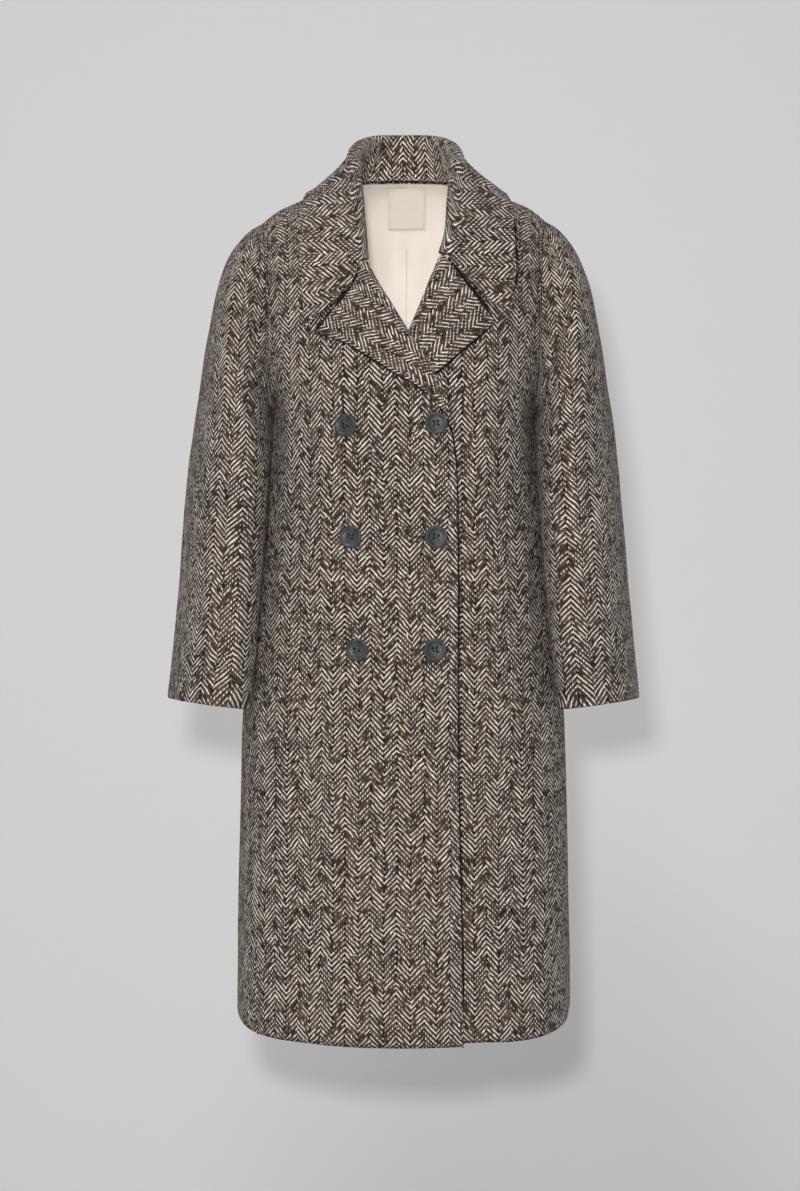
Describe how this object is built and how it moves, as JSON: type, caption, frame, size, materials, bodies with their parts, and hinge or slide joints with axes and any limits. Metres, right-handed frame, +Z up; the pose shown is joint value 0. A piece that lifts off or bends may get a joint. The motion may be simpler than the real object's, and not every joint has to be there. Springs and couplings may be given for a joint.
{
  "type": "overcoat",
  "caption": "Mid-length double-breasted herringbone tweed overcoat with a wide notched collar, hollow and filled out as if worn.",
  "frame": {"origin": "middle of the neck opening, level with the top of the shoulders", "axes": "+Z up, -Y out of the coat's front, +X towards the wearer's left"},
  "size_m": [0.5788, 0.3333, 1.1294],
  "materials": {
    "tweed": "brushed wool herringbone, matte",
    "cream_satin": "satin weave, soft sheen",
    "woven_label": "woven, matte",
    "charcoal_horn": "satin, horn-like"
  },
  "bodies": {
    "root": {"back": "tweed", "lining_back": "cream_satin", "neck_label": "woven_label", "collar": "tweed", "front_right": "tweed", "front_left": "tweed", "lapel_right": "tweed", "lapel_left": "tweed", "pocket_welt_right": "tweed", "pocket_welt_left": "tweed", "sleeve_right_front": "tweed", "sleeve_right_back": "tweed", "sleeve_left_front": "tweed", "sleeve_left_back": "tweed", "button_right_top": "charcoal_horn", "button_right_middle": "charcoal_horn", "button_right_bottom": "charcoal_horn", "button_left_top": "charcoal_horn", "button_left_middle": "charcoal_horn", "button_left_bottom": "charcoal_horn"}
  },
  "joints": []
}
